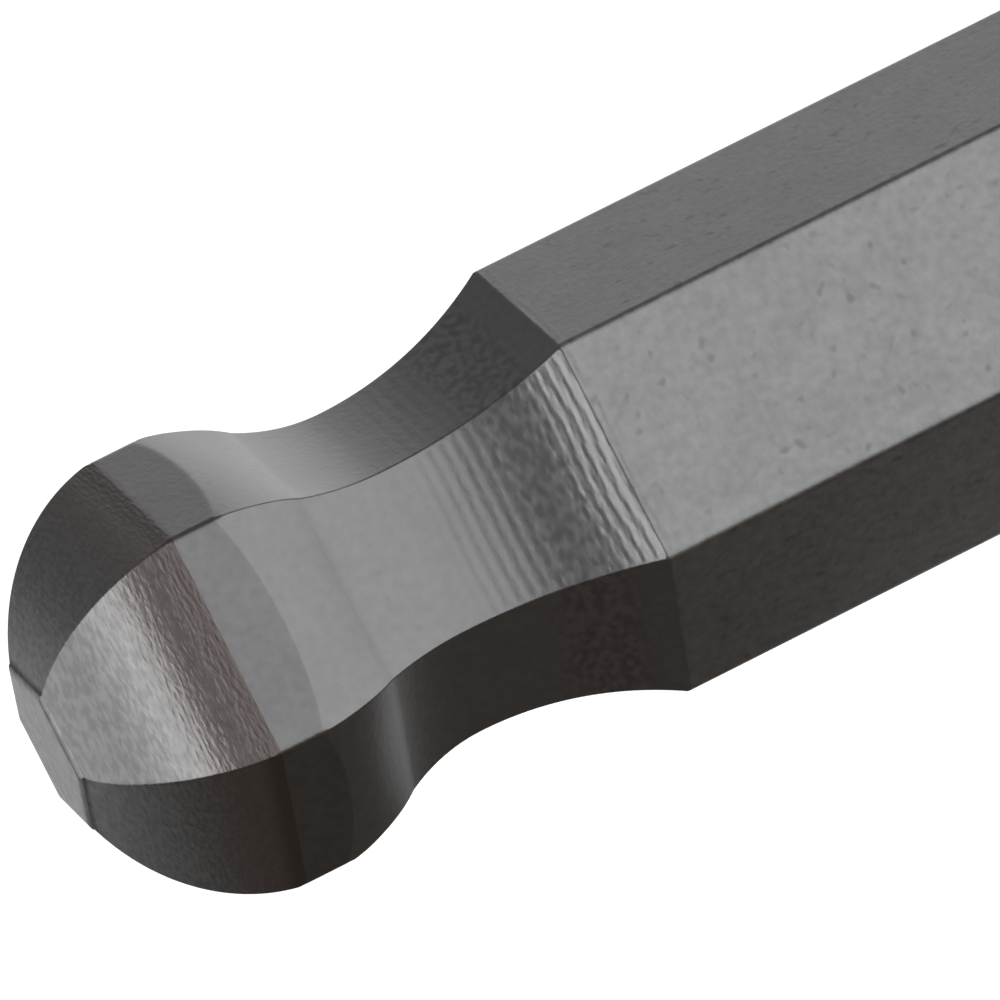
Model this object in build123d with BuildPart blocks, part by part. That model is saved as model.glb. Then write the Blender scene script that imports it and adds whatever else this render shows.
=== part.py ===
from build123d import *
import math
import os

# A ball-end hex screwdriver: a one-piece hexagonal steel blade, a hard plastic handle core
# moulded round its tang, and a soft grip sleeve moulded over the core.
# Millimetres. The tool lies on its handle with its axis level: +X runs from the tip to the
# butt, +Z is up, and the origin is the middle of the footprint, on the surface it rests on.

# --- blade: the hexagonal bar ------------------------------------------------------------
across_flats = 6.0
blade_reach = 100.0             # from the handle's nose to the end of the tip
tang_length = 62.0              # the part of the bar held inside the handle
tang_chamfer = 0.8

# --- blade: the ball end, measured along the axis from the shoulder where milling starts ---
neck_depth = 0.745              # how far the neck is cut below the flats
neck_from_shoulder = 3.03
ball_proud = 0.04               # the ball's circle stands past the flats: a narrow land is left
ball_from_shoulder = 6.0
crease_angle = 56.5             # where the neck's hollow meets the ball, up from the axis
end_across_flats = 2.16         # the small flat hexagon at the very end

# --- blade: wings pressed out of the tang, which stop it turning or pulling out ------------
wing_span = 9.6
wing_thickness = 1.6
wing_length = 7.0
wing_from_tang_end = 9.0

# --- handle: outer form, stations measured along the axis from the butt --------------------
handle_length = 112.0
handle_across_flats = 33.0
handle_corner_radius = 6.0
butt_radius = 9.0
dome_end = 12.0
dome_radius = 17.2
dome_curve = 14.0               # radius of the dome's arc from the butt's rim to the barrel
dome_slope = 0.25               # how steeply the dome runs into the barrel
belly_station = 34.0
belly_radius = 18.4
waist_station = 77.0
waist_radius = 11.6
guard_station = 91.0
guard_radius = 18.0
guard_slope = 0.75              # how steeply the waist flares out into the guard
guard_thickness = 6.0
collar_radius = 14.5
nose_radius = 6.2
rim_round = 1.2                 # edge radii of the butt's rim, the guard and the nose
guard_round = 1.5
collar_round = 1.5
nose_round = 0.8

# --- grip sleeve ------------------------------------------------------------------------
sleeve_start = 14.0
sleeve_end = 86.0
sleeve_thickness = 2.6
cutter_margin = 1.0             # how far the sleeve's cutting disc stands out past the belly

# --- drive symbol sunk into the butt ------------------------------------------------------
symbol_across_flats = 8.0
symbol_depth = 0.5

# --- places worked out from the sizes above ------------------------------------------------
overall_length = handle_length + blade_reach
butt_x = overall_length / 2
axis_height = handle_across_flats / 2

half_flats = across_flats / 2
neck_half = half_flats - neck_depth
ball_radius = half_flats + ball_proud
end_half = end_across_flats / 2
tip_from_shoulder = ball_from_shoulder + math.sqrt(ball_radius**2 - end_half**2)
shoulder_x = -overall_length / 2 + tip_from_shoulder


def station_x(station):
    """The X of a handle station, which is a distance from the butt."""
    return butt_x - station


def flats_plane(turn):
    """A plane through the tool's axis, its origin at the shoulder and its local x towards
    the tip, turned about the axis so that its local y crosses one pair of flats."""
    normal = (0, math.cos(math.radians(turn)), math.sin(math.radians(turn)))
    return Plane(origin=(shoulder_x, 0, axis_height), x_dir=(-1, 0, 0), z_dir=normal)


def cross_plane(station):
    """A plane square to the axis at a handle station, with its local y pointing up."""
    return Plane(origin=(station_x(station), 0, axis_height), x_dir=(0, 1, 0), z_dir=(1, 0, 0))


def tangent_radius(low, high):
    """The radius of an arc that leaves a low point along the axis and ends at a higher one."""
    return ((high.X - low.X) ** 2 + (high.Y - low.Y) ** 2) / (2 * (high.Y - low.Y))


def arc_on(centre, start, end):
    """The point midway along the shorter arc from start to end about a centre."""
    middle = ((start + end) / 2 - centre).normalized()
    return centre + middle * (start - centre).length


# --- the across-flats outline of the blade, upper half, x towards the tip ------------------
shoulder = Vector(0, half_flats)
neck = Vector(neck_from_shoulder, neck_half)
ball_centre = Vector(ball_from_shoulder, 0)
crease = ball_centre + Vector(-ball_radius, 0).rotate(Axis.Z, -crease_angle)
ramp_centre = neck + Vector(0, tangent_radius(neck, shoulder))
front_centre = neck + Vector(0, tangent_radius(neck, crease))
land_half = math.sqrt(ball_radius**2 - half_flats**2)
land_back = ball_centre + Vector(-land_half, half_flats)
land_front = ball_centre + Vector(land_half, half_flats)
end_corner = Vector(tip_from_shoulder, end_half)
end_middle = Vector(tip_from_shoulder, 0)
tang_middle = Vector(tip_from_shoulder - blade_reach - tang_length, 0)
tang_corner = tang_middle + Vector(0, half_flats)


# --- blade: three such faces, a third of a half turn apart, cut each other to a hexagon -----
with BuildPart() as blade:
    for turn in (0, 60, 120):
        with BuildSketch(flats_plane(turn)):
            with BuildLine():
                Line(tang_middle, tang_corner)
                Line(tang_corner, shoulder)
                ThreePointArc(shoulder, arc_on(ramp_centre, shoulder, neck), neck)
                ThreePointArc(neck, arc_on(front_centre, neck, crease), crease)
                ThreePointArc(crease, arc_on(ball_centre, crease, land_back), land_back)
                Line(land_back, land_front)
                ThreePointArc(land_front, arc_on(ball_centre, land_front, end_corner), end_corner)
                Line(end_corner, end_middle)
                Line(end_middle, tang_middle)
            make_face()
            mirror(about=Plane.XZ)
        extrude(amount=across_flats, both=True, mode=Mode.ADD if turn == 0 else Mode.INTERSECT)
    chamfer(blade.faces().sort_by(Axis.X)[-1].edges(), tang_chamfer)
    for turn in (0, 90):
        with BuildSketch(flats_plane(turn)):
            with Locations((tang_middle.X + wing_from_tang_end, 0)):
                Rectangle(wing_length, wing_span)
            chamfer(vertices(), (wing_span - across_flats) / 4)
        extrude(amount=wing_thickness / 2, both=True)
blade.part.label = "blade"


def handle_form(inset):
    """The handle's outer form, or the same form drawn in all round by an inset: a turned
    profile whose barrel and guard are cut by six flats."""
    with BuildPart() as form:
        with BuildSketch(Plane.XZ) as profile:
            with BuildLine():
                butt_centre = (butt_x, axis_height)
                butt_rim = (butt_x, axis_height + butt_radius - inset)
                dome = (station_x(dome_end), axis_height + dome_radius - inset)
                belly = (station_x(belly_station), axis_height + belly_radius - inset)
                waist = (station_x(waist_station), axis_height + waist_radius - inset)
                guard_back = (station_x(guard_station), axis_height + guard_radius - inset)
                guard_front = (station_x(guard_station + guard_thickness), guard_back[1])
                collar = (guard_front[0], axis_height + collar_radius - inset)
                nose = (station_x(handle_length), axis_height + nose_radius)
                nose_centre = (nose[0], axis_height)
                Line(butt_centre, butt_rim)
                RadiusArc(butt_rim, dome, -dome_curve)
                Spline(dome, belly, waist, guard_back, tangents=[(-1, dome_slope), (-1, guard_slope)])
                Line(guard_back, guard_front)
                Line(guard_front, collar)
                Line(collar, nose)
                Line(nose, nose_centre)
                Line(nose_centre, butt_centre)
            make_face()
            for corner, radius in (
                (butt_rim, rim_round),
                (guard_back, guard_round),
                (guard_front, guard_round),
                (collar, collar_round),
                (nose, nose_round),
            ):
                fillet(profile.vertices().sort_by_distance((*corner, 0))[0], radius)
        revolve(axis=Axis((0, 0, axis_height), (1, 0, 0)))
        with BuildSketch(cross_plane(handle_length)):
            RegularPolygon(axis_height - inset, 6, major_radius=False)
            fillet(vertices(), handle_corner_radius - inset)
        extrude(amount=handle_length, mode=Mode.INTERSECT)
    return form.part


# --- handle core: the outer form, drawn in under the sleeve and moulded round the tang ------
outer_form = handle_form(0)
inner_form = handle_form(sleeve_thickness)

with BuildPart() as sleeve_stretch:
    with BuildSketch(cross_plane(sleeve_end)):
        Circle(belly_radius + cutter_margin)
    extrude(amount=sleeve_end - sleeve_start)

with BuildPart() as spine:
    add(inner_form)
    add(sleeve_stretch.part, mode=Mode.INTERSECT)

with BuildPart() as handle_core:
    add(outer_form)
    add(sleeve_stretch.part, mode=Mode.SUBTRACT)
    add(spine.part)
    with BuildSketch(cross_plane(0)):
        RegularPolygon(symbol_across_flats / 2, 6, major_radius=False)
    extrude(amount=-symbol_depth, mode=Mode.SUBTRACT)
    add(blade.part, mode=Mode.SUBTRACT)
handle_core.part.label = "handle_core"

# --- grip sleeve: the skin between the two forms --------------------------------------------
with BuildPart() as grip_sleeve:
    add(outer_form)
    add(sleeve_stretch.part, mode=Mode.INTERSECT)
    add(inner_form, mode=Mode.SUBTRACT)
grip_sleeve.part.label = "grip_sleeve"

os.makedirs("parts", exist_ok=True)
export_step(blade.part, "parts/blade.step")
export_step(handle_core.part, "parts/handle_core.step")
export_step(grip_sleeve.part, "parts/grip_sleeve.step")
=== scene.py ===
import bpy
import math
from mathutils import Matrix, Vector


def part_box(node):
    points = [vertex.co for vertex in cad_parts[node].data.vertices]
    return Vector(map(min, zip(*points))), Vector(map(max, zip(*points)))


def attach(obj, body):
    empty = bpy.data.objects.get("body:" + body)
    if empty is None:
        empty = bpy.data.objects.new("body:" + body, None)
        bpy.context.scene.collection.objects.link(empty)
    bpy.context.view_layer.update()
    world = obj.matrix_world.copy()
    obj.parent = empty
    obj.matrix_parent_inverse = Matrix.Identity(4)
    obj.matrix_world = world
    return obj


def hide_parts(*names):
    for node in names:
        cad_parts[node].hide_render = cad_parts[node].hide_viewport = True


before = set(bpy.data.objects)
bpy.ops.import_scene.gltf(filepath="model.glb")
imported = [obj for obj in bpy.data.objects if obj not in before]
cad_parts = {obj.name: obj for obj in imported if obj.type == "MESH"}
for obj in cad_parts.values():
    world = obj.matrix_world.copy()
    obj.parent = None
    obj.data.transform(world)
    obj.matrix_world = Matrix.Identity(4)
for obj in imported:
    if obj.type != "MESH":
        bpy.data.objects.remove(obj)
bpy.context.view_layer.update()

MM = 0.001
TURN = 2 * math.pi

# --- places read from the frame ------------------------------------------------------------
tip_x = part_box("blade")[0].x
tang_end_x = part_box("blade")[1].x
nose_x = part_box("handle_core")[0].x
butt_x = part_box("handle_core")[1].x
sleeve_nose_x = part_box("grip_sleeve")[0].x
sleeve_butt_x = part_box("grip_sleeve")[1].x
axis_z = (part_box("handle_core")[0].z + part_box("handle_core")[1].z) / 2
handle_flat = axis_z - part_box("handle_core")[0].z

# --- the blade's sizes, in metres. A half is half the distance across the flats --------------
half_flats = 3.0 * MM
neck_half = half_flats - 0.745 * MM
end_half = 1.08 * MM
neck_from_shoulder = 3.03 * MM
ball_from_shoulder = 6.0 * MM
ball_radius = half_flats + 0.04 * MM
ball_front_radius = half_flats + 0.021 * MM
ball_back_radius = half_flats + 0.049 * MM
back_crown = 0.034 * MM         # how much deeper the ball's back is cut at the sides' edges
crease_angle = math.radians(56.5)
edge_round = 0.16 * MM          # the long edges of the bar
cut_edge_round = 0.045 * MM     # the sharper edges where the ball end is cut
tang_chamfer = 0.8 * MM
tip_from_shoulder = ball_from_shoulder + math.sqrt(ball_radius**2 - end_half**2)
shoulder_x = tip_x + tip_from_shoulder

# What is left of the bar's flats round the ball reaches this far to each side of its middle.
front_land = math.sqrt(ball_front_radius**2 - half_flats**2)
back_land = math.sqrt(ball_back_radius**2 - half_flats**2)

# --- the handle's sizes. Stations and the points of its profile run from the butt -----------
butt_radius = 9.0 * MM
dome = Vector((12.0, 17.2)) * MM
dome_curve = 14.0 * MM
belly = Vector((34.0, 18.4)) * MM
waist = Vector((77.0, 11.6)) * MM
guard = Vector((91.0, 18.0)) * MM
guard_thickness = 6.0 * MM
collar_radius = 14.5 * MM
nose_radius = 6.2 * MM
handle_corner = 6.0 * MM
flat_blend = 1.2 * MM           # how softly the turned form runs into the six flats
sleeve_thickness = 2.6 * MM
symbol_half = 4.0 * MM
symbol_depth = 0.5 * MM
tang_slack = 0.01 * MM
handle_length = butt_x - nose_x
sleeve_start = butt_x - sleeve_butt_x
sleeve_end = butt_x - sleeve_nose_x


# --- mesh helpers ----------------------------------------------------------------------------
def skin(name, rings, sharp_degrees, tube=False):
    """A closed mesh through rings of equal length. Its ends are capped with a fan each, or
    in a tube the last ring joins the first."""
    count = len(rings[0])
    points = [point for ring in rings for point in ring]
    faces = []
    for index in range(len(rings) if tube else len(rings) - 1):
        base = index * count
        beyond = (index + 1) % len(rings) * count
        for k in range(count):
            after = (k + 1) % count
            faces.append((base + k, base + after, beyond + after, beyond + k))
    for base, turn in () if tube else ((0, 1), ((len(rings) - 1) * count, -1)):
        points.append(middle_of(rings[base // count]))
        for k in range(count):
            fan = (base + (k + 1) % count, base + k, len(points) - 1)
            faces.append(fan[::turn])
    mesh = bpy.data.meshes.new(name)
    mesh.from_pydata(points, [], faces)
    mesh.validate()
    mesh.shade_smooth()
    mesh.set_sharp_from_angle(angle=math.radians(sharp_degrees))
    return link(name, mesh)


def link(name, data):
    made = bpy.data.objects.new(name, data)
    bpy.context.scene.collection.objects.link(made)
    return made


def middle_of(ring):
    return sum(ring, Vector()) / len(ring)


def smooth_step(low, high, value):
    share = min(1.0, max(0.0, (value - low) / (high - low)))
    return share * share * (3 - 2 * share)


def stretch_mask(value, low, full, fading, gone):
    """1 in the middle of a range, with a soft start and a soft end."""
    return smooth_step(low, full, value) * (1 - smooth_step(fading, gone, value))


def wave(distance, pitch, phase=0.0):
    return math.sin(TURN * distance / pitch + phase)


def steps(start, end, step):
    """Evenly spaced values from start up to, but not including, end."""
    count = max(1, round(abs(end - start) / step))
    return [start + (end - start) * k / count for k in range(count)]


# --- the blade -------------------------------------------------------------------------------
def tangent_radius(low, high):
    """The radius of an arc that leaves a low point along the axis and ends at a higher one."""
    return ((high[0] - low[0]) ** 2 + (high[1] - low[1]) ** 2) / (2 * (high[1] - low[1]))


crease = (
    ball_from_shoulder - ball_radius * math.cos(crease_angle),
    ball_radius * math.sin(crease_angle),
)
neck = (neck_from_shoulder, neck_half)
ramp_radius = tangent_radius(neck, (0, half_flats))
front_radius = tangent_radius(neck, crease)


def blade_half(along, share=0.0):
    """Half the across-flats at a distance from the shoulder towards the tip, and at a share
    of the way from the middle of a side to its edge."""
    if along <= 0:
        return half_flats
    off = along - neck_from_shoulder
    if along < neck_from_shoulder:
        return neck_half + ramp_radius - math.sqrt(ramp_radius**2 - off**2)
    if along < crease[0]:
        return neck_half + front_radius - math.sqrt(front_radius**2 - off**2)
    off = along - ball_from_shoulder
    radius = ball_front_radius if off > 0 else ball_back_radius - back_crown * share**2
    near_crease = 1 - smooth_step(crease[0], crease[0] + 0.8 * MM, along)
    radius += (ball_radius - radius) * near_crease
    return min(half_flats, math.sqrt(max(radius**2 - off**2, 0)))


# How clearly the cutter marked each of the six sides, starting from the top one.
RIDGE_STRENGTHS = (0.3, 1.0, 0.35, 0.8, 0.5, 0.7)


def ridge(along, across, side):
    """The height of the cutter's ridges: coarse and wavy at the shoulder, then dotted, then
    even by the neck, and fine and broken on the front of the ball."""
    phase = 1.7 * side
    ripple = 0.014 * MM * wave(across, 0.37 * MM, phase + 900 * along)
    bend = 0.03 * MM * wave(across, 2.3 * MM, 2 * phase)

    bent = along + ripple + bend
    pitch = 0.172 * MM
    doubled = 0.4 * wave(bent, pitch / 2, 1.3 + 2 * wave(across, 0.83 * MM))
    uneven = 0.68 + 0.32 * wave(across, 0.29 * MM, TURN * along / (0.31 * MM))
    coarse = 0.0043 * MM * uneven * (wave(bent, pitch) + doubled)
    coarse *= stretch_mask(along, -0.24 * MM, -0.1 * MM, 0.3 * MM, 1.0 * MM)

    dotted = 0.0015 * MM * wave(along + bend, 0.125 * MM) * wave(across, 0.34 * MM)
    dotted *= stretch_mask(along, 0.3 * MM, 0.8 * MM, 1.3 * MM, 1.8 * MM)

    even = 0.0015 * MM * wave(along + 0.3 * bend, 0.2 * MM)
    even *= stretch_mask(along, 1.2 * MM, 1.6 * MM, 2.45 * MM, 2.8 * MM)

    broken = wave(across, 0.46 * MM, 1500 * along) * wave(across, 0.19 * MM, -2100 * along)
    fine = 0.0009 * MM * broken * wave(along + 0.6 * ripple, 0.11 * MM)
    fine *= stretch_mask(along, 6.4 * MM, 6.6 * MM, 7.6 * MM, 8.3 * MM)
    return (coarse + dotted + even + fine) * RIDGE_STRENGTHS[side]


# Points across a side, as shares of its half width: close together by its edges.
RIDGED_SHARE = 0.96     # the ridges fade out from here to the edge
EDGE_SHARES = (RIDGED_SHARE, 0.985, 1)
MIDDLE_SHARES = [-0.92 + 1.84 * k / 34 for k in range(35)]
SIDE_SHARES = (*[-share for share in reversed(EDGE_SHARES)], *MIDDLE_SHARES, *EDGE_SHARES)
EDGE_STEPS = 5


def blade_ring(along, shrink=1.0):
    """One cross-section: a hexagon with rounded corners and ridges on its six sides."""
    edge_half = blade_half(along, 1.0)
    uncut = 1 - smooth_step(0, 0.02 * MM, half_flats - edge_half)
    corner = cut_edge_round + (edge_round - cut_edge_round) * uncut
    edge_half *= shrink
    reach = (edge_half - corner) * math.tan(math.pi / 6)
    x = shoulder_x - along
    ring = []
    for side in range(6):
        angle = math.pi / 2 + side * math.pi / 3
        normal = Vector((0, math.cos(angle), math.sin(angle)))
        sideways = Vector((0, -math.sin(angle), math.cos(angle)))
        for share in SIDE_SHARES:
            fade = 1 - max(0, abs(share) - RIDGED_SHARE) / (1 - RIDGED_SHARE)
            lift = blade_half(along, share) * shrink + fade * ridge(along, share * reach, side)
            ring.append(normal * lift + sideways * share * reach)
        centre = normal * (edge_half - corner) + sideways * reach
        for step in range(1, EDGE_STEPS):
            turn = step / EDGE_STEPS * math.pi / 3
            ring.append(centre + (normal * math.cos(turn) + sideways * math.sin(turn)) * corner)
    return [Vector((x, point.y, point.z + axis_z)) for point in ring]


def end_rings(last):
    """The rounded edge of the flat end, and the end itself."""
    edge_steps = 8
    edge_share = 0.16
    start = middle_of(last)
    centre = Vector((tip_x, 0, axis_z))
    rings = []
    for k in range(edge_steps + 1):
        turn = math.radians(90 * k / edge_steps)
        forward = start.lerp(centre, math.sin(turn))
        inward = 1 - edge_share * (1 - math.cos(turn))
        rings.append([forward + (point - start) * inward for point in last])
    rings.append([centre + (point - start) * 0.5 for point in last])
    return rings


def make_blade():
    tang_end = shoulder_x - tang_end_x
    front_edge = ball_from_shoulder + front_land
    back_edge = ball_from_shoulder - back_land - 0.1 * MM
    round_start = tip_from_shoulder - 0.06 * MM
    spans = (
        (tang_end + tang_chamfer, -6 * MM, 12 * MM),
        (-6 * MM, -0.3 * MM, 1.0 * MM),
        (-0.3 * MM, 2.9 * MM, 0.021 * MM),
        (2.9 * MM, crease[0], 0.06 * MM),
        (crease[0], back_edge, 0.06 * MM),
        (back_edge, ball_from_shoulder, 0.04 * MM),
        (ball_from_shoulder, front_edge, 0.07 * MM),
        (front_edge, 8.3 * MM, 0.021 * MM),
        (8.3 * MM, round_start, 0.04 * MM),
    )
    tang_face = blade_ring(tang_end, 1 - tang_chamfer / half_flats)
    rings = [[Vector((tang_end_x, point.y, point.z)) for point in tang_face]]
    for start, end, step in spans:
        rings += [blade_ring(along) for along in steps(start, end, step)]
    rings += end_rings(blade_ring(round_start))
    return skin("steel_blade", rings, 80)


# --- the handle ------------------------------------------------------------------------------
# Its form is a turned profile cut by six flats, as in the frame.
def line_points(start, end, step):
    count = max(1, round((end - start).length / step))
    return [start.lerp(end, k / count) for k in range(count + 1)]


def arc_points(start, end, radius, count):
    """Points on an arc that bulges to the left of the way from start to end."""
    way = end - start
    side = Vector((way.y, -way.x)).normalized()
    centre = (start + end) / 2 + side * math.sqrt(radius**2 - way.length_squared / 4)
    first = start - centre
    sweep = first.angle_signed(end - centre)
    return [centre + Matrix.Rotation(-sweep * k / count, 2) @ first for k in range(count + 1)]


def spline_ways(knots, gaps, first_way, last_way):
    """The direction at each knot with which a cubic curve bends evenly through them all."""
    inner = len(knots) - 2
    rows = [[0.0] * inner for _ in range(inner)]
    pulls = []
    for i in range(inner):
        before, after = gaps[i], gaps[i + 1]
        rise_before = (knots[i + 1] - knots[i]) / before**2
        rise_after = (knots[i + 2] - knots[i + 1]) / after**2
        pull = 3 * (rise_before + rise_after)
        rows[i][i] = 2 / before + 2 / after
        if i > 0:
            rows[i][i - 1] = 1 / before
        else:
            pull = pull - first_way / before
        if i < inner - 1:
            rows[i][i + 1] = 1 / after
        else:
            pull = pull - last_way / after
        pulls.append(pull)
    solved = Matrix(rows).inverted()
    middle = [sum((pulls[j] * solved[i][j] for j in range(inner)), Vector((0, 0))) for i in range(inner)]
    return [first_way, *middle, last_way]


def spline_points(knots, first_way, last_way, step):
    """A smooth curve through the knots with a given direction at each end."""
    gaps = [(b - a).length for a, b in zip(knots, knots[1:])]
    ways = spline_ways(knots, gaps, first_way, last_way)
    points = []
    for i, gap in enumerate(gaps):
        count = round(gap / step)
        for k in range(count):
            t = k / count
            point = knots[i] * (2 * t**3 - 3 * t**2 + 1) + knots[i + 1] * (3 * t**2 - 2 * t**3)
            point += (ways[i] * (t**3 - 2 * t**2 + t) + ways[i + 1] * (t**3 - t**2)) * gap
            points.append(point)
    return [*points, knots[-1]]


def soften(points, passes):
    """Rounds the corners of a finely divided line, with its two ends held."""
    for _ in range(passes):
        inner = [(a + b * 2 + c) / 4 for a, b, c in zip(points, points[1:], points[2:])]
        points = [points[0], *inner, points[-1]]
    return points


def handle_profile(step):
    """(station, radius) from inside the butt to inside the nose, with its edges rounded."""
    rim = Vector((0, butt_radius))
    guard_front = guard + Vector((guard_thickness, 0))
    collar = Vector((guard_front.x, collar_radius))
    nose = Vector((handle_length, nose_radius))
    points = line_points(Vector((0, symbol_half * 1.3)), rim, step)
    points += arc_points(rim, dome, dome_curve, 44)[1:]
    first_way = Vector((1, 0.25)).normalized()
    last_way = Vector((1, 0.75)).normalized()
    points += spline_points([dome, belly, waist, guard], first_way, last_way, step)[1:]
    corners = (guard, guard_front, collar, nose, Vector((handle_length, half_flats * 1.35)))
    for start, end in zip(corners, corners[1:]):
        points += line_points(start, end, step)[1:]
    return soften(points, 9)


def part_between(profile, start, end):
    """The part of a profile between two stations, with a point at each of them."""
    def at(station):
        for a, b in zip(profile, profile[1:]):
            if a.x <= station <= b.x and b.x > a.x:
                return a.lerp(b, (station - a.x) / (b.x - a.x))
        raise ValueError(station)
    return [at(start), *[point for point in profile if start < point.x < end], at(end)]


def hexagon_reach(angle, flat, corner):
    """How far a hexagon with rounded corners reaches in a direction. Flats face up and down."""
    off = abs(angle % (math.pi / 3) - math.pi / 6)
    inner = flat - corner
    if math.tan(off) * flat <= inner * math.tan(math.pi / 6):
        return flat / math.cos(off)
    centre = Vector((inner, inner * math.tan(math.pi / 6)))
    along = centre.dot(Vector((math.cos(off), math.sin(off))))
    return along + math.sqrt(max(corner**2 - centre.length_squared + along**2, 0))


def soft_min(a, b, blend):
    near = max(blend - abs(a - b), 0) / blend
    return min(a, b) - near * near * blend / 4


def groove(offset, half_width, depth):
    return depth * math.cos(math.pi / 2 * min(abs(offset) / half_width, 1)) ** 2


def grip_relief(station, angle, radius):
    """How deep the sleeve's grooves are: flutes on the barrel's corners, rings at the waist."""
    half_width = 1.0 * MM
    from_corner = math.pi / 6 - abs(angle % (math.pi / 3) - math.pi / 6)
    fluted = stretch_mask(station, 18 * MM, 21 * MM, 50 * MM, 55 * MM)
    flutes = [groove((from_corner - turn) * radius, half_width, 0.75 * MM) for turn in (0, 0.155)]
    rings = [groove(station - (66 + 4 * k) * MM, half_width, 0.6 * MM) for k in range(5)]
    return max(max(flutes) * fluted, *rings)


def ring_at(station, count, reach_at):
    """A ring round the axis, whose reach in each direction comes from a function."""
    ring = []
    for k in range(count):
        angle = TURN * k / count
        reach = reach_at(angle)
        y, z = reach * math.cos(angle), reach * math.sin(angle)
        ring.append(Vector((butt_x - station, y, axis_z + z)))
    return ring


def form_ring(point, count, inset=0.0, relief=False):
    """One ring of the handle's form at a point of its profile, drawn in by an inset."""
    def reach_at(angle):
        flat = hexagon_reach(angle, handle_flat, handle_corner)
        reach = soft_min(point.y, flat, flat_blend) - inset
        return reach - grip_relief(point.x, angle, reach) if relief else reach
    return ring_at(point.x, count, reach_at)


def hexagon_ring(station, count, flat, corner=0.0):
    return ring_at(station, count, lambda angle: hexagon_reach(angle, flat, corner))


UNDER_SLEEVE_STEP = 8   # the hidden faces between sleeve and core take every eighth ring


def make_sleeve():
    count = 360
    end_drop, end_reach = 0.3 * MM, 0.6 * MM
    outer = part_between(handle_profile(0.45 * MM), sleeve_start, sleeve_end)
    rings = []
    for point in outer:
        from_end = min(point.x - sleeve_start, sleeve_end - point.x)
        drop = end_drop * (1 - smooth_step(0, end_reach, from_end))
        rings.append(form_ring(point, count, drop, relief=True))
    inner = [outer[-1], *outer[-9:8:-UNDER_SLEEVE_STEP], outer[0]]
    rings += [form_ring(point, count, sleeve_thickness) for point in inner]
    return skin("rubber_sleeve", rings, 60, tube=True)


def make_core():
    count = 240
    seam_drop = 0.2 * MM
    profile = handle_profile(0.4 * MM)
    covered = part_between(profile, sleeve_start, sleeve_end)
    bed = [covered[0], *covered[8:-8:UNDER_SLEEVE_STEP], covered[-1]]
    symbol = (
        (symbol_depth, symbol_half * 0.5),
        (symbol_depth, symbol_half * 0.98),
        (symbol_depth * 0.9, symbol_half),
        (0.05 * MM, symbol_half),
        (0, symbol_half + 0.06 * MM),
    )
    rings = [hexagon_ring(depth, count, half) for depth, half in symbol]
    rings += [form_ring(point, count) for point in profile if point.x <= sleeve_start]
    rings.append(form_ring(covered[0], count, seam_drop))
    rings += [form_ring(point, count, sleeve_thickness) for point in bed]
    rings.append(form_ring(covered[-1], count, seam_drop))
    rings += [form_ring(point, count) for point in profile if point.x > sleeve_end]
    for station in (handle_length, handle_length - 1 * MM, butt_x - tang_end_x):
        rings.append(hexagon_ring(station, count, half_flats + tang_slack, edge_round))
    return skin("moulded_core", rings, 50)


# --- node helpers --------------------------------------------------------------------------
class Nodes:
    """A small wrapper that adds nodes to a material or world and links them by name."""

    def __init__(self, owner):
        owner.use_nodes = True
        self.tree = owner.node_tree
        self.tree.nodes.clear()

    def add(self, kind, inputs=None, **settings):
        node = self.tree.nodes.new(kind)
        for key, value in settings.items():
            setattr(node, key, value)
        for key, value in (inputs or {}).items():
            if isinstance(value, bpy.types.NodeSocket):
                self.tree.links.new(value, node.inputs[key])
            else:
                node.inputs[key].default_value = value
        return node

    def math(self, operation, a, b=0.0):
        return self.add("ShaderNodeMath", {0: a, 1: b}, operation=operation).outputs[0]

    def plus(self, a, b):
        return self.math("ADD", a, b)

    def less(self, a, b):
        return self.math("SUBTRACT", a, b)

    def times(self, a, b):
        return self.math("MULTIPLY", a, b)

    def vector(self, operation, a, b=(0, 0, 0)):
        return self.add("ShaderNodeVectorMath", {0: a, 1: b}, operation=operation).outputs

    def xyz(self, vector):
        return self.add("ShaderNodeSeparateXYZ", {0: vector}).outputs

    def ramp(self, value, low, high, to_low=0.0, to_high=1.0):
        """A smooth step of a value from one range to another."""
        inputs = {0: value, 1: low, 2: high, 3: to_low, 4: to_high}
        node = self.add("ShaderNodeMapRange", inputs, interpolation_type="SMOOTHSTEP")
        return node.outputs[0]

    def mix(self, share, a, b, **settings):
        inputs = {0: share, 6: a, 7: b}
        return self.add("ShaderNodeMix", inputs, data_type="RGBA", **settings).outputs[2]

    def noise(self, place, size, detail=2.0, rough=0.5, across=1.0):
        """Noise whose grains are about a given size in metres, and in streaks across the
        blade where across is under 1."""
        if across != 1.0:
            inputs = {"Vector": place, "Scale": (1.0, across, across)}
            place = self.add("ShaderNodeMapping", inputs).outputs[0]
        inputs = {"Vector": place, "Scale": 1 / size, "Detail": detail, "Roughness": rough}
        return self.add("ShaderNodeTexNoise", inputs).outputs["Fac"]

    def bump(self, height, distance):
        inputs = {"Strength": 1.0, "Distance": distance, "Height": height}
        return self.add("ShaderNodeBump", inputs).outputs[0]

    def principled(self, tone, rough, normal, **uniform):
        inputs = {"Base Color": tone, "Roughness": rough, "Normal": normal, **uniform}
        shader = self.add("ShaderNodeBsdfPrincipled", inputs)
        self.add("ShaderNodeOutputMaterial", {"Surface": shader.outputs[0]})


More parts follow.
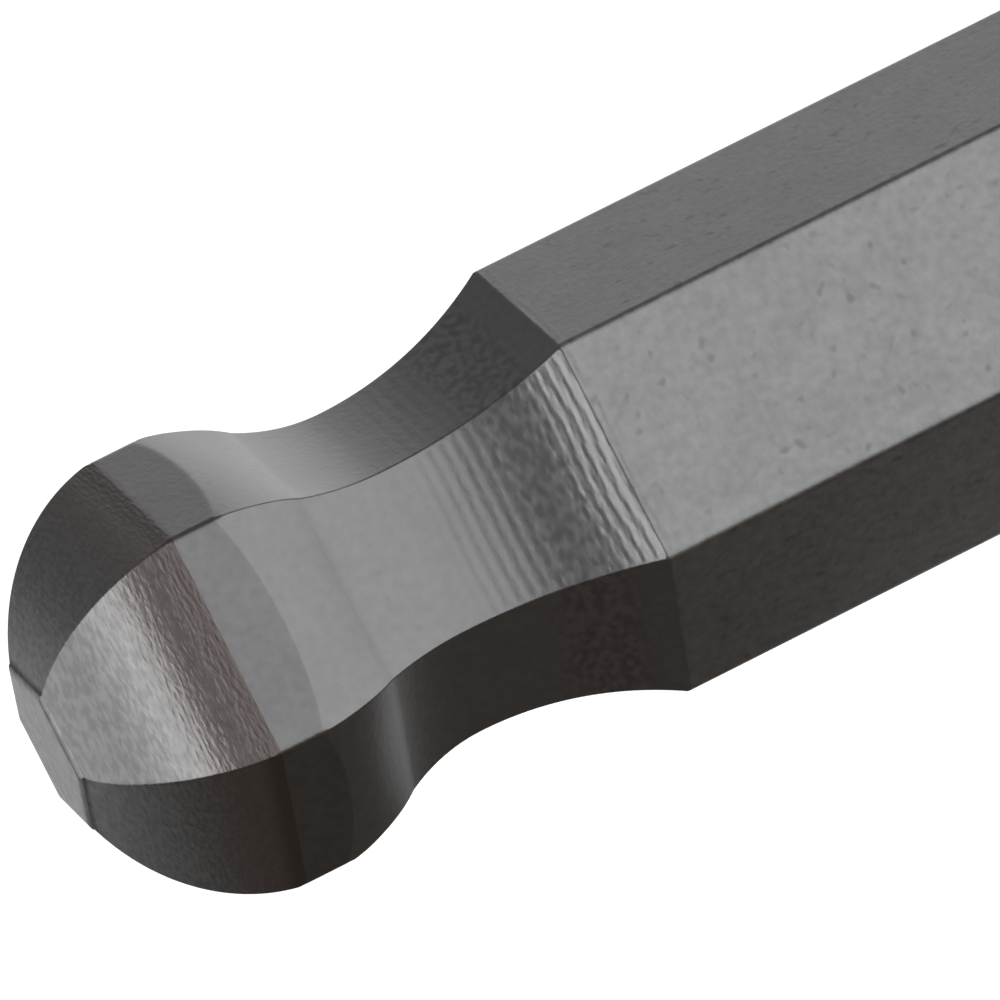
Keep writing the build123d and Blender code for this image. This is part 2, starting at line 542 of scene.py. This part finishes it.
# --- materials: each pair of colours is the darkest and the lightest tone of a finish -------
BLASTED = ((0.162, 0.164, 0.17, 1), (0.335, 0.335, 0.333, 1))
MILLED = ((0.185, 0.185, 0.188, 1), (0.26, 0.26, 0.26, 1))
MOTTLED = ((0.165, 0.158, 0.164, 1), (0.265, 0.258, 0.264, 1))
STREAKED = ((0.185, 0.183, 0.183, 1), (0.265, 0.262, 0.26, 1))
OLD_FLAT = ((0.13, 0.132, 0.137, 1), (0.225, 0.225, 0.225, 1))
# The next two colours are painted shade: dark brownish bands painted on the ball's front in place of the
# dark reflection it shows there.
PAINTED_SHADE_BROWN = (0.23, 0.19, 0.18, 1)
PAINTED_SHADE_DARKEST = (0.125, 0.105, 0.1, 1)
DOT = (0.1, 0.1, 0.102, 1)
CORE_BLACK = ((0.016, 0.0165, 0.018, 1), (0.03, 0.031, 0.033, 1))
GRIP_GREY = ((0.05, 0.052, 0.055, 1), (0.085, 0.088, 0.092, 1))


def land_mask(nodes, place, along):
    """1 on the bands of the old flats that are left round the middle of the ball."""
    _, y, z = nodes.xyz(place)
    z = nodes.less(z, axis_z)
    out_squared = nodes.plus(nodes.times(y, y), nodes.times(z, z))
    share_squared = nodes.less(nodes.times(out_squared, 3 / half_flats**2), 3.0)
    radius = nodes.less(ball_back_radius, nodes.times(share_squared, back_crown))
    back = nodes.math("SQRT", nodes.less(nodes.times(radius, radius), half_flats**2))
    past_middle = nodes.less(along, ball_from_shoulder)
    soft = 0.02 * MM
    before_front = nodes.ramp(past_middle, front_land - soft, front_land + soft, 1.0, 0.0)
    after_back = nodes.ramp(nodes.plus(past_middle, back), -soft, soft)
    return nodes.times(before_front, after_back)


def steel_tone(nodes, place, along, cut, ball_front, speckle, streaks):
    """Blasted bar, milled ball end with a mottled band on its ramp, and painted shade: dark brownish
    bands painted on the ball's front, standing in for the dark reflection there.
    """
    front_edge = ball_from_shoulder + front_land
    cloud = nodes.noise(place, 0.8 * MM, 2.0)
    shade = nodes.plus(nodes.times(cloud, 0.35), nodes.times(speckle, 0.65))
    dashes = nodes.noise(place, 0.11 * MM, 0.0, across=0.65)
    mottled = nodes.mix(nodes.ramp(dashes, 0.25, 0.75), *MOTTLED)
    ramp_start = nodes.ramp(along, 0.3 * MM, 0.7 * MM)
    ramp_end = nodes.ramp(along, 1.3 * MM, 1.9 * MM, 1.0, 0.0)
    ramp_middle = nodes.times(ramp_start, ramp_end)
    milled = nodes.mix(nodes.times(ramp_middle, 0.8), nodes.mix(shade, *MILLED), mottled)
    tone = nodes.mix(cut, nodes.mix(shade, *BLASTED), milled)
    streaked = nodes.mix(nodes.ramp(streaks, 0.3, 0.7), *STREAKED)
    tone = nodes.mix(nodes.times(ball_front, 0.7), tone, streaked)
    # Painted shade: two dark brownish bands painted on the ball's front just past the land, standing in
    # for its dark reflection.
    for start, end, strength, colour in ((0.6, 1.3, 0.55, PAINTED_SHADE_BROWN), (0.1, 0.4, 0.8, PAINTED_SHADE_DARKEST)):
        fading = nodes.ramp(along, front_edge + start * MM, front_edge + end * MM, 1.0, 0.0)
        painted_shade_band = nodes.times(nodes.times(ball_front, fading), strength)
        tone = nodes.mix(painted_shade_band, tone, colour)
    return nodes.mix(land_mask(nodes, place, along), tone, nodes.mix(shade, *OLD_FLAT))


def steel_material():
    """Dark steel: blasted flats with soft speckles, and a smoother milled ball end."""
    material = bpy.data.materials.new("dark_steel")
    nodes = Nodes(material)
    place = nodes.add("ShaderNodeTexCoord").outputs["Object"]
    along = nodes.less(shoulder_x, nodes.xyz(place)[0])
    front_edge = ball_from_shoulder + front_land
    cut = nodes.ramp(along, -0.05 * MM, 0.02 * MM)
    ball_front = nodes.ramp(along, front_edge - 0.02 * MM, front_edge + 0.02 * MM)
    speckle = nodes.noise(place, 0.15 * MM, 1.0, 0.4)
    grain = nodes.noise(place, 0.09 * MM, 2.0)
    streaks = nodes.noise(place, 0.055 * MM, 1.0, across=0.3)
    dots = nodes.ramp(nodes.noise(place, 0.19 * MM, 0.0), 0.68, 0.88)
    dots = nodes.times(dots, nodes.ramp(cut, 0.0, 1.0, 0.42, 0.12))
    tone = steel_tone(nodes, place, along, cut, ball_front, speckle, streaks)
    tone = nodes.mix(dots, tone, DOT)
    rough = nodes.plus(nodes.ramp(cut, 0.0, 1.0, 0.34, 0.27), nodes.times(speckle, 0.1))
    streak_depth = nodes.ramp(ball_front, 0.0, 1.0, 0.5, 2.8)
    height = nodes.plus(nodes.times(nodes.less(streaks, 0.5), streak_depth), grain)
    height = nodes.less(height, nodes.times(dots, 0.8))
    nodes.principled(tone, rough, nodes.bump(height, 0.0025 * MM), Metallic=1.0)
    return material


def plastic_material(name, colours, roughness, grain_size, grain_height):
    """Moulded plastic or rubber: fine grain, faint clouding and slightly uneven gloss."""
    material = bpy.data.materials.new(name)
    nodes = Nodes(material)
    place = nodes.add("ShaderNodeTexCoord").outputs["Object"]
    cloud = nodes.noise(place, 9 * MM, 3.0)
    grain = nodes.noise(place, grain_size, 3.0, 0.6)
    shade = nodes.plus(nodes.times(cloud, 0.6), nodes.times(grain, 0.4))
    rough = nodes.plus(nodes.times(cloud, 0.14), roughness - 0.07)
    nodes.principled(nodes.mix(shade, *colours), rough, nodes.bump(grain, grain_height))
    return material


# --- pieces --------------------------------------------------------------------------------
blade = make_blade()
blade.data.materials.append(steel_material())
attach(blade, "root")
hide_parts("blade")

core_finish = plastic_material("core_plastic", CORE_BLACK, 0.36, 0.25 * MM, 0.02 * MM)
grip_finish = plastic_material("grip_rubber", GRIP_GREY, 0.7, 0.35 * MM, 0.05 * MM)
for piece, finish, slot, node in (
    (make_core(), core_finish, "core_plastic", "handle_core"),
    (make_sleeve(), grip_finish, "grip_rubber", "grip_sleeve"),
):
    piece.data.materials.append(finish)
    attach(piece, "root")
    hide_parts(node)


# --- studio: world, floor, lamp, reflection tent and camera --------------------------------
def white_to_lens(nodes):
    """1 for rays that show the background: seen straight, mirrored or through glass."""
    path = nodes.add("ShaderNodeLightPath").outputs
    seen = nodes.math("MAXIMUM", path["Is Camera Ray"], path["Is Glossy Ray"])
    return nodes.math("MAXIMUM", seen, path["Is Transmission Ray"])


def make_world():
    world = bpy.data.worlds.new("studio")
    bpy.context.scene.world = world
    nodes = Nodes(world)
    fill = nodes.add("ShaderNodeBackground", {"Color": (1, 1, 1, 1), "Strength": 0.45})
    white = nodes.add("ShaderNodeBackground", {"Color": (1, 1, 1, 1), "Strength": 1.0})
    inputs = {0: white_to_lens(nodes), 1: fill.outputs[0], 2: white.outputs[0]}
    mixed = nodes.add("ShaderNodeMixShader", inputs)
    nodes.add("ShaderNodeOutputWorld", {"Surface": mixed.outputs[0]})


def make_floor():
    """Pale paper, lifted to white for the lens, which still takes the tool's shadow."""
    size = 60.0
    lift_strength = 0.32
    corners = [(-size, -size, 0), (size, -size, 0), (size, size, 0), (-size, size, 0)]
    mesh = bpy.data.meshes.new("floor")
    mesh.from_pydata(corners, [], [(0, 1, 2, 3)])
    floor = link("floor", mesh)
    material = bpy.data.materials.new("floor_paper")
    nodes = Nodes(material)
    paper = nodes.add("ShaderNodeBsdfDiffuse", {"Color": (0.8, 0.8, 0.8, 1)})
    strength = nodes.times(white_to_lens(nodes), lift_strength)
    lift = nodes.add("ShaderNodeEmission", {"Color": (1, 1, 1, 1), "Strength": strength})
    both = nodes.add("ShaderNodeAddShader", {0: paper.outputs[0], 1: lift.outputs[0]})
    nodes.add("ShaderNodeOutputMaterial", {"Surface": both.outputs[0]})
    mesh.materials.append(material)


def make_sun():
    """The key light for all that is matt. Polished steel sees the tent instead."""
    lamp = bpy.data.lights.new("soft_key", "SUN")
    lamp.energy = 2.3
    lamp.angle = math.radians(30)
    sun = link("soft_key", lamp)
    sun.rotation_mode = "QUATERNION"
    sun.rotation_quaternion = Vector((-0.35, 0.35, 1.0)).to_track_quat("Z", "Y")
    sun.visible_glossy = False


# Each panel is round: the direction of its middle from the shoulder, its radius and half the
# width of its soft edge, both in degrees, and how bright it is.
PANELS = (
    ((-0.76, -0.53, 0.36), 12.5, 5, 2.7),    # soft box by the tip, in front
    ((-0.93, -0.29, 0.23), 17, 8, 1.5),      # its paler side
    ((0.62, -0.65, 0.44), 50, 7, 1.3),       # large soft box in front, on the handle's side
    ((-0.95, 0.28, -0.08), 22, 9, 1.25),     # pale card beyond the tip
    ((-0.46, 0.86, -0.14), 15, 13, 0.42),    # its far edge
    ((0.42, 0.88, 0.12), 21, 12, 1.2),       # backdrop on the handle's side
    ((0.53, 0.26, -0.81), 16, 11, 0.54),     # floor behind, on the handle's side
    ((-0.60, 0.35, -0.72), 16, 14, 0.32),    # floor beyond the tip
    ((-0.20, 0.874, -0.445), 21, 11, 0.85),  # floor behind
)
TENT_ABOVE = (0.2, 0.2, 0.2, 1)
TENT_BELOW = (0.115, 0.096, 0.084, 1)


def tent_material():
    """Dark cloth, warmer below, with the pale panels on it."""
    material = bpy.data.materials.new("tent_cloth")
    nodes = Nodes(material)
    place = nodes.add("ShaderNodeTexCoord").outputs["Object"]
    offset = nodes.vector("SUBTRACT", place, (shoulder_x, 0, axis_z))[0]
    direction = nodes.vector("NORMALIZE", offset)[0]
    height = nodes.xyz(direction)[2]
    level = nodes.mix(nodes.ramp(height, -0.3, 0.1), TENT_BELOW, TENT_ABOVE)
    for towards, radius, soft, bright in PANELS:
        facing = nodes.vector("DOT_PRODUCT", direction, Vector(towards).normalized())["Value"]
        outer = math.cos(math.radians(radius + soft))
        inner = math.cos(math.radians(radius - soft))
        shown = nodes.ramp(facing, outer, inner, 0.0, bright)
        grey = nodes.add("ShaderNodeCombineColor", {0: shown, 1: shown, 2: shown}).outputs[0]
        level = nodes.mix(1.0, level, grey, blend_type="LIGHTEN")
    glow = nodes.add("ShaderNodeEmission", {"Color": level, "Strength": 1.0})
    nodes.add("ShaderNodeOutputMaterial", {"Surface": glow.outputs[0]})
    return material


def make_tent():
    """A tent round the tool, seen only in reflections. Its base lies just over the floor."""
    radius = 2.0
    base_height = 0.4 * MM
    across, up = 64, 32
    rows = []
    for row in range(up + 1):
        tilt = math.pi * row / up
        ring = []
        for k in range(across):
            turn = TURN * k / across
            x = radius * math.sin(tilt) * math.cos(turn)
            y = radius * math.sin(tilt) * math.sin(turn)
            ring.append(Vector((x, y, max(radius * math.cos(tilt), base_height))))
        rows.append(ring)
    tent = skin("reflection_tent", rows, 180)
    tent.data.materials.append(tent_material())
    for kind in ("camera", "diffuse", "transmission", "volume_scatter", "shadow"):
        setattr(tent, "visible_" + kind, False)


def make_camera():
    """The viewing angle: a long lens a little to the tip's side, rolled so the blade rises."""
    azimuth, elevation, roll = math.radians(-12.67), math.radians(26.4), math.radians(26.6)
    distance = 290.5 * MM
    shoulder_right, shoulder_up = 1.205 * MM, 0.279 * MM
    back = Vector((
        math.sin(azimuth) * math.cos(elevation),
        -math.cos(azimuth) * math.cos(elevation),
        math.sin(elevation),
    ))
    along = Vector((1, 0, 0))
    along = (along - back * along.dot(back)).normalized()
    above = back.cross(along)
    right = along * math.cos(roll) - above * math.sin(roll)
    upward = along * math.sin(roll) + above * math.cos(roll)
    shoulder = Vector((shoulder_x, 0, axis_z))
    camera = link("camera", bpy.data.cameras.new("camera"))
    camera.data.lens = 717
    camera.data.sensor_width = 36
    camera.data.clip_start = 10 * MM
    camera.data.clip_end = 100
    camera.location = shoulder + back * distance - right * shoulder_right - upward * shoulder_up
    camera.rotation_mode = "QUATERNION"
    camera.rotation_quaternion = Matrix((right, upward, back)).transposed().to_quaternion()
    bpy.context.scene.camera = camera


make_world()
make_floor()
make_sun()
make_tent()
make_camera()
bpy.context.scene.view_settings.view_transform = "Standard"
